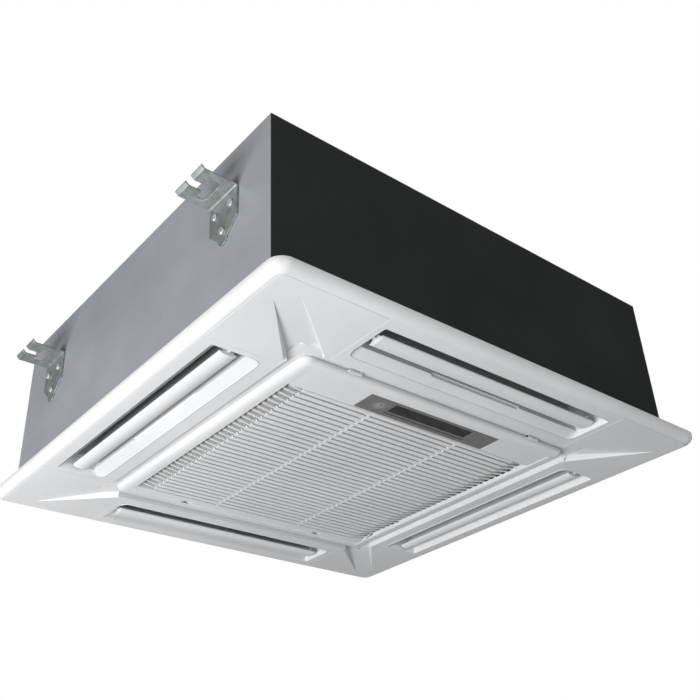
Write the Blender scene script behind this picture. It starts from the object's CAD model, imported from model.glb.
import math

import bmesh
import bpy
from mathutils import Matrix, Vector


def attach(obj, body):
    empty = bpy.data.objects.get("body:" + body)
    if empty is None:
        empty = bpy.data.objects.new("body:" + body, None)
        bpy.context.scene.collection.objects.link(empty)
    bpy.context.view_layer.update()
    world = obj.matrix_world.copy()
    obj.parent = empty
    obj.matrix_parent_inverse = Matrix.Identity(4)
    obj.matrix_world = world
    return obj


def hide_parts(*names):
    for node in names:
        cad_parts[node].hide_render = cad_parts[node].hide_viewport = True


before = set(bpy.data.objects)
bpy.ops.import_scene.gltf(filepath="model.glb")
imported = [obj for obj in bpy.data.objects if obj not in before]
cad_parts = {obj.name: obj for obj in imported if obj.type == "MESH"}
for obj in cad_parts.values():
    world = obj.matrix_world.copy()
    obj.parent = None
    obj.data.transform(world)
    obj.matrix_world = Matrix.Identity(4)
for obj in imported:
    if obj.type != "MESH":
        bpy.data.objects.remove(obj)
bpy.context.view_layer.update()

# Sheet-metal casing: four walls with inward flanges and a beaded top plate, of galvanised
# steel about a millimetre thick, pressed, folded and riveted. One long wall is coated black.
FLAT = math.radians(1)  # faces closer in angle than this are joined
CORNER = math.radians(40)  # edges sharper than this are rounded
CREASE = math.radians(38)  # edges sharper than this break the smooth shading


class Value:
    """A shader socket that takes part in sums and makes further nodes of its tree."""

    def __init__(self, tree, socket):
        self.tree, self.socket = tree, socket

    def node(self, kind, inputs, out=0, **settings):
        made = self.tree.nodes.new("ShaderNode" + kind)
        for key, value in settings.items():
            setattr(made, key, value)
        for key, value in inputs.items():
            if isinstance(value, Value):
                self.tree.links.new(made.inputs[key], value.socket)
            else:
                made.inputs[key].default_value = value
        return Value(self.tree, made.outputs[out])

    def math(self, operation, *others):
        return self.node("Math", dict(enumerate((self,) + others)), operation=operation)

    def __add__(self, other):
        return self.math("ADD", other)

    def __sub__(self, other):
        return self.math("SUBTRACT", other)

    def __mul__(self, other):
        return self.math("MULTIPLY", other)

    def ramp(self, low, high):
        """0 at low, 1 at high and smooth between them."""
        return self.node("MapRange", {0: self, 1: low, 2: high}, interpolation_type="SMOOTHSTEP")

    def axis(self, index):
        return self.node("SeparateXYZ", {0: self}, out=index)

    def noise(self, size, detail=3.0):
        return self.node("TexNoise", {"Vector": self, "Scale": 1 / size, "Detail": detail})

    def mix(self, first, second):
        return self.node("Mix", {0: self, 6: (*first, 1), 7: (*second, 1)}, out=2, data_type="RGBA")


def material(name, dark, light, cell, rough, metal=0.0, pattern=None, relief=None, coat=0.0, spread=0.06):
    """Finish that clouds between two colours. Cells of it are about cell metres wide.

    pattern changes the mix of the two and relief gives a height in metres.
    """
    made = bpy.data.materials.new(name)
    made.use_nodes = True
    tree = made.node_tree
    shader = tree.nodes["Principled BSDF"]
    at = Value(tree, tree.nodes.new("ShaderNodeTexCoord").outputs["Object"])
    tone = (at.noise(cell) - 0.5) * 2.4 + 0.5
    if pattern:
        tone = pattern(at, tone)
    tone = tone.math("MINIMUM", 1.0).math("MAXIMUM", 0.0)
    tree.links.new(shader.inputs["Base Color"], tone.mix(dark, light).socket)
    tree.links.new(shader.inputs["Roughness"], ((at.noise(cell / 3) - 0.5) * (2 * spread) + rough).socket)
    shader.inputs["Metallic"].default_value = metal
    shader.inputs["Coat Weight"].default_value = coat
    if relief:
        bump = at.node("Bump", {"Height": relief(at), "Distance": 1.0, "Strength": 1.0})
        tree.links.new(shader.inputs["Normal"], bump.socket)
    return made


def rounded(name, nodes, body, finish, width, segments=2, spared=(0, 0)):
    """One piece from copies of CAD nodes: welded, flats joined and corners over an angle rounded.

    Edges with both |x| and |y| between the two spared values stay as they are.
    """
    bm = bmesh.new()
    for node in nodes:
        bm.from_mesh(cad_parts[node].data)
    bmesh.ops.remove_doubles(bm, verts=bm.verts, dist=2e-6)
    bmesh.ops.dissolve_limit(bm, angle_limit=FLAT, verts=bm.verts, edges=bm.edges)
    if width:
        sharp = [e for e in bm.edges if len(e.link_faces) == 2 and e.calc_face_angle(0) > CORNER
                 and not all(spared[0] < abs(c) < spared[1] for v in e.verts for c in v.co.xy)]
        bmesh.ops.bevel(bm, geom=sharp, offset=width, offset_type="OFFSET", segments=segments, profile=0.5,
                        affect="EDGES", clamp_overlap=False)
    mesh = bpy.data.meshes.new(name)
    bm.to_mesh(mesh)
    bm.free()
    mesh.materials.append(finish)
    mesh.shade_smooth()
    mesh.set_sharp_from_angle(angle=CREASE)
    made = bpy.data.objects.new(name, mesh)
    bpy.context.scene.collection.objects.link(made)
    made.modifiers.new("flats", "WEIGHTED_NORMAL").keep_sharp = True
    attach(made, body)
    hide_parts(*nodes)


def rolled(at, tone):
    """Long faint streaks of the coil coating, and a slow change from end to end."""
    streaks = at.node("Mapping", {"Vector": at, "Scale": (1.0, 1.0, 6.0)}).noise(0.35, 2.0)
    return tone * 0.45 + streaks * 0.55


zinc = material("galvanised_sheet", (0.37, 0.39, 0.42), (0.52, 0.54, 0.57), 0.16, 0.42, metal=0.35, pattern=rolled,
                relief=lambda at: at.noise(0.09, 2.0) * 0.0006 + at.noise(0.004) * 0.00001)
black_coat = material("black_coat", (0.017, 0.020, 0.020), (0.026, 0.029, 0.028), 0.2, 0.6,
                      relief=lambda at: at.noise(0.12, 2.0) * 0.0005 + at.noise(0.0012) * 0.000012)
black_coat.node_tree.nodes["Principled BSDF"].inputs["Specular IOR Level"].default_value = 0.25
for wall in ("casing_front", "casing_back", "casing_left", "casing_top"):
    rounded(wall.replace("casing", "wall"), [wall], "unit", zinc, 0.0006)
rounded("wall_right", ["casing_right"], "unit", black_coat, 0.0006)
rounded("rail", ["side_rail"], "unit", zinc, 0.001)

# Linings: bead foam moulded to shape, white inside the casing and grey in the air ducts. The
# drain pan is of the same foam with a trough below the coil.
DUCT_IN = 0.358, 0.362  # the ducts' inner walls, across which the grey sets in


def beads(at):
    return at.node("TexVoronoi", {"Vector": at, "Scale": 1 / 0.004}) * 0.0004


def duct_grey(at, tone):
    """Darker where the foam borders an air duct."""
    far = at.axis(0).math("ABSOLUTE").math("MAXIMUM", at.axis(1).math("ABSOLUTE"))
    return tone - far.ramp(*DUCT_IN) * 3.0


foam = material("bead_foam", (0.72, 0.72, 0.70), (0.86, 0.86, 0.84), 0.03, 0.8, relief=beads)
pan_foam = material("pan_foam", (0.42, 0.43, 0.44), (0.80, 0.80, 0.78), 0.03, 0.85, pattern=duct_grey,
                    relief=beads)
rounded("lining", ["foam_liner"], "unit", foam, 0.002)
rounded("pan", ["drain_pan"], "unit", pan_foam, 0.002)

# Hanger brackets: four pressings of 3 mm zinc-plated steel, each with a slotted lug turned
# outwards and held to the casing with three screws.


def passivated(at, tone):
    """Small crystals and dull patches of the zinc plating."""
    return tone * 0.6 + at.node("TexVoronoi", {"Vector": at, "Scale": 1 / 0.006}) * 0.5


bracket_zinc = material("bracket_zinc", (0.17, 0.19, 0.185), (0.37, 0.40, 0.395), 0.02, 0.4, metal=0.5,
                        pattern=passivated, relief=lambda at: at.noise(0.003) * 0.00004)
screw_zinc = material("screw_zinc", (0.62, 0.63, 0.64), (0.82, 0.83, 0.84), 0.004, 0.26, metal=0.6,
                      relief=lambda at: at.noise(0.0015) * 0.00002)
for number in range(1, 5):
    rounded(f"bracket_{number}", [f"hanger_bracket_{number}"], "unit", bracket_zinc, 0.0009)
rounded("screws", ["bracket_screws"], "unit", screw_zinc, 0.0012, segments=3)

# Coil: aluminium fins pressed onto copper tubes and bent round the fan, with a sheet plate and
# hairpin bends at both cut ends. The tubes leave through flare nuts on the wall plate.
FIN_TURN = 3490.0  # radians a metre, for fins 1.8 mm apart


def fins(at):
    """Edges of the fins along the block's faces, from -1 in a gap to 1 on a fin."""
    return ((at.axis(0) + at.axis(1)) * FIN_TURN).math("SINE")


fin_metal = material("fin_aluminium", (0.30, 0.31, 0.32), (0.78, 0.79, 0.80), 0.03, 0.4, metal=0.8,
                     pattern=lambda at, tone: fins(at) * 0.5 + tone * 0.6, relief=lambda at: fins(at) * 0.0003)
copper = material("copper", (0.45, 0.20, 0.11), (0.80, 0.44, 0.28), 0.02, 0.3, metal=1.0,
                  relief=lambda at: at.noise(0.004) * 0.00003)
brass = material("brass", (0.50, 0.36, 0.14), (0.78, 0.62, 0.30), 0.012, 0.3, metal=1.0,
                 relief=lambda at: at.noise(0.002) * 0.00002)
rounded("fins", ["coil_fins"], "unit", fin_metal, 0.0008)
rounded("coil_plates", ["coil_end_plates"], "unit", zinc, 0.0005)
rounded("hairpins", ["coil_bends"], "unit", copper, 0)
for tube in ("gas_pipe", "liquid_pipe"):
    rounded(tube.replace("pipe", "tube"), [tube], "unit", copper, 0.0003)
rounded("nuts", ["flare_nuts"], "unit", brass, 0.0008)
rounded("wall_plate", ["pipe_plate"], "unit", bracket_zinc, 0.0004)

# Drain: a small pump of moulded plastic with a ribbed hose to the spout, and a float switch
# that slides on a plastic stem.
HOSE_TURN = 1250.0  # radians a metre, for ribs 5 mm apart


def hose_ribs(at):
    """Ribs round the hose, whichever way it runs."""
    return ((at.axis(0) + at.axis(1) + at.axis(2)) * HOSE_TURN).math("SINE") * 0.0007


blue_plastic = material("blue_plastic", (0.035, 0.08, 0.17), (0.06, 0.12, 0.24), 0.02, 0.42,
                        relief=lambda at: at.noise(0.0009) * 0.00003)
hose_grey = material("ribbed_hose", (0.16, 0.16, 0.15), (0.26, 0.26, 0.25), 0.02, 0.5, relief=hose_ribs)
stem_white = material("stem_plastic", (0.62, 0.62, 0.60), (0.78, 0.78, 0.76), 0.02, 0.45,
                      relief=lambda at: at.noise(0.0009) * 0.00003)
black_plastic = material("black_plastic", (0.014, 0.014, 0.015), (0.035, 0.035, 0.037), 0.02, 0.5,
                         relief=lambda at: at.node("TexVoronoi", {"Vector": at, "Scale": 1100.0}) * 0.00008)
rounded("pump", ["drain_pump"], "unit", blue_plastic, 0.002, segments=3)
rounded("hose", ["drain_hose"], "unit", hose_grey, 0)
rounded("spout", ["drain_spout"], "unit", black_plastic, 0.0008)
rounded("stem", ["float_stem"], "unit", stem_white, 0.0006)
rounded("float_ring_piece", ["float"], "float_ring", blue_plastic, 0.0008)

# Fan: the motor can hangs from the top plate on rubber bushes, and the wheel of moulded
# plastic is held on its shaft by a nut. Bell mouth and control box are of galvanised sheet.
motor_paint = material("motor_paint", (0.02, 0.02, 0.022), (0.045, 0.045, 0.048), 0.03, 0.4,
                       relief=lambda at: at.noise(0.001) * 0.00004)
rubber = material("rubber", (0.012, 0.012, 0.012), (0.03, 0.03, 0.03), 0.01, 0.75,
                  relief=lambda at: at.noise(0.0008) * 0.00006)
rounded("motor", ["fan_motor"], "unit", motor_paint, 0.002, segments=3)
rounded("bushes", ["motor_bushes"], "unit", rubber, 0.0012)
rounded("hanging_bolts", ["motor_bolts"], "unit", screw_zinc, 0.0006)
rounded("shaft", ["motor_shaft"], "fan_wheel", screw_zinc, 0.0006)
rounded("wheel_back", ["fan_backplate"], "fan_wheel", black_plastic, 0.0015)
rounded("wheel_blades", ["fan_blades"], "fan_wheel", black_plastic, 0.0008)
rounded("wheel_ring", ["fan_shroud"], "fan_wheel", black_plastic, 0.0008)
rounded("wheel_nut", ["fan_nut"], "fan_wheel", brass, 0.0008)
rounded("air_mouth", ["bell_mouth"], "unit", zinc, 0.0006)
rounded("electric_box", ["control_box"], "unit", zinc, 0.0004)
rounded("electric_lid", ["control_lid"], "unit", bracket_zinc, 0.0004)


def tracks(at, tone):
    """Copper tracks under green lacquer."""
    cells = at.node("TexVoronoi", {"Vector": at, "Scale": 160.0}, feature="DISTANCE_TO_EDGE",
                    distance="MANHATTAN")
    return cells.ramp(0.03, 0.07) * 0.7 + tone * 0.2


board_green = material("circuit_lacquer", (0.05, 0.20, 0.09), (0.02, 0.09, 0.045), 0.02, 0.35,
                       pattern=tracks, coat=0.3)
rounded("main_board", ["circuit_board"], "unit", board_green, 0.0003)

# Panel: one moulding of white plastic with the four outlets, separate covers at its corners
# with diagonal valleys, and a strip of dark foam between it and the casing.
RECESS_CORNER = 0.28, 0.35  # |x| and |y| round the recess corners, where slopes meet in slivers


def leather(at):
    """Fine eroded grain of the mould."""
    return at.node("TexVoronoi", {"Vector": at, "Scale": 1200.0}) * 0.00006 + at.noise(0.05, 2.0) * 0.0002


white = material("panel_plastic", (0.68, 0.69, 0.70), (0.74, 0.75, 0.76), 0.2, 0.42, relief=leather, spread=0.04)
seal_foam = material("seal_foam", (0.02, 0.02, 0.02), (0.05, 0.05, 0.05), 0.01, 0.9,
                     relief=lambda at: at.node("TexVoronoi", {"Vector": at, "Scale": 700.0}) * 0.0004)
rounded("panel", ["fascia"], "unit", white, 0.0008, spared=RECESS_CORNER)
rounded("corner_covers", ["corner_caps"], "unit", white, 0.0003, spared=RECESS_CORNER)
rounded("seal", ["fascia_seal"], "unit", seal_foam, 0.001)
rounded("panel_screws", ["fascia_screws"], "unit", screw_zinc, 0.0008)

# Louvres: four extruded blades with an arched section, each carried by a pin at both ends
# and turned by a small geared motor beside the outlet.
for side in ("front", "right", "back", "left"):
    rounded(f"blade_{side}", [f"louvre_{side}"], f"{side}_louvre", white, 0.0007)
rounded("blade_motors", ["louvre_motors"], "unit", stem_white, 0.0008)

# Intake grille: one moulding with slats, cross ribs and two blank strips, hung on two steel
# pins, with two sliding latches and the dust filter lying on the slats.
NET_TURN = 4190.0  # radians a metre, for threads 0.75 mm apart


def net(at, tone):
    """Meshes of the filter net between its threads."""
    across, along = ((at.axis(i) * NET_TURN).math("SINE").math("ABSOLUTE") for i in (0, 1))
    return tone * 0.3 + across * along * 0.9


net_white = material("filter_net", (0.84, 0.85, 0.85), (0.93, 0.94, 0.94), 0.02, 0.7, pattern=net,
                    relief=lambda at: net(at, at.noise(0.01)) * 0.0003)
rounded("grille", ["intake_grille"], "grille", white, 0.0006)
rounded("filter_rim", ["filter_frame"], "grille", stem_white, 0.0006)
rounded("filter_net_sheet", ["filter_mesh"], "grille", net_white, 0)
rounded("hinge_rods", ["hinge_pins"], "unit", stem_white, 0.0004)
for number in (1, 2):
    rounded(f"latch_slide_{number}", [f"grille_latch_{number}"], f"latch_{number}", white, 0.0006)

# Display: a grey bezel let into the wide strip, with a smoked window over the receiver board
# and a round emergency button.
BUTTON_AT = 0.253, -0.113, -0.2395
LINE_X, LINE_HALF = 0.2392, 0.0915  # dark line beside the window


def bezel_paint(at, tone):
    """Mottled paint with a pale ring round the button and a dark line beside the window."""
    ring = at.node("VectorMath", {0: at, 1: BUTTON_AT}, out=1, operation="DISTANCE").ramp(0.015, 0.006)
    beside = (at.axis(0) - LINE_X).math("ABSOLUTE").ramp(0.0020, 0.0008)
    along = at.axis(1).math("ABSOLUTE").ramp(LINE_HALF + 0.0015, LINE_HALF)
    return tone * 0.25 + 0.28 + ring * 0.4 - beside * along


bezel_grey = material("bezel_grey", (0.05, 0.05, 0.046), (0.33, 0.33, 0.34), 0.005, 0.4, pattern=bezel_paint,
                      relief=lambda at: at.noise(0.0008) * 0.00003)
smoked = material("smoked_window", (0.006, 0.007, 0.007), (0.045, 0.047, 0.046), 0.004, 0.22, coat=0.3)
rounded("bezel", ["display_bezel"], "grille", bezel_grey, 0.0006)
rounded("window", ["display_window"], "grille", smoked, 0.0004)
rounded("receiver_board", ["display_board"], "grille", board_green, 0.0002)
rounded("button_cap", ["display_button"], "button", bezel_grey, 0.0005)

# Floor, lights and camera. The floor lies below the camera, as the object hangs from above.
FLOOR_HALF, FLOOR_Z = 4, -1.75
LIT = 0.0, 0.0, -0.186  # point that both lamps face
EYE = 1.2582, -1.0356, -0.9539
floor_mesh = bpy.data.meshes.new("floor")
turns = ((-1, -1), (1, -1), (1, 1), (-1, 1))
floor_mesh.from_pydata([(x * FLOOR_HALF, y * FLOOR_HALF, FLOOR_Z) for x, y in turns], [], [(0, 1, 2, 3)])
floor_mesh.materials.append(material("floor_paint", (0.72, 0.72, 0.72), (0.76, 0.76, 0.76), 0.6, 0.7,
                                     relief=lambda at: at.noise(0.01) * 0.0001))
floor = bpy.data.objects.new("floor", floor_mesh)
bpy.context.scene.collection.objects.link(floor)

world = bpy.data.worlds.new("studio")
bpy.context.scene.world = world
world.use_nodes = True
sky = world.node_tree
seen = Value(sky, sky.nodes.new("ShaderNodeLightPath").outputs["Is Camera Ray"])
back = sky.nodes["Background"]
back.inputs["Color"].default_value = (1, 1, 1, 1)
sky.links.new(back.inputs["Strength"], (seen * 0.86 + 0.14).socket)


def lamp(name, at, size, watts):
    """Area lamp that looks at the middle of the panel."""
    light = bpy.data.lights.new(name, "AREA")
    light.shape, light.energy = "RECTANGLE", watts
    light.size, light.size_y = size
    made = bpy.data.objects.new(name, light)
    made.location = at
    made.rotation_euler = (Vector(at) - Vector(LIT)).to_track_quat("Z", "Y").to_euler()
    bpy.context.scene.collection.objects.link(made)


lamp("side_light", (-0.1, -1.92, -1.36), (2.4, 0.7), 55)
lamp("end_light", (3.2, -0.6, -0.586), (1.4, 1.4), 34)

AZIMUTH, ELEVATION, ROLL = (math.radians(a) for a in (49.25, -31.10, -2.85))
back_axis = Vector((math.sin(AZIMUTH) * math.cos(ELEVATION), -math.cos(AZIMUTH) * math.cos(ELEVATION),
                    math.sin(ELEVATION)))
level = (-back_axis).cross(Vector((0, 0, 1))).normalized()
upright = level.cross(-back_axis)
right = level * math.cos(ROLL) + upright * math.sin(ROLL)
up = upright * math.cos(ROLL) - level * math.sin(ROLL)
camera = bpy.data.objects.new("camera", bpy.data.cameras.new("camera"))
camera.data.lens, camera.data.sensor_width = 48.60, 36.0
camera.matrix_world = Matrix.Translation(EYE) @ Matrix((right, up, back_axis)).transposed().to_4x4()
bpy.context.scene.collection.objects.link(camera)
bpy.context.scene.camera = camera
bpy.context.scene.view_settings.view_transform = "Standard"
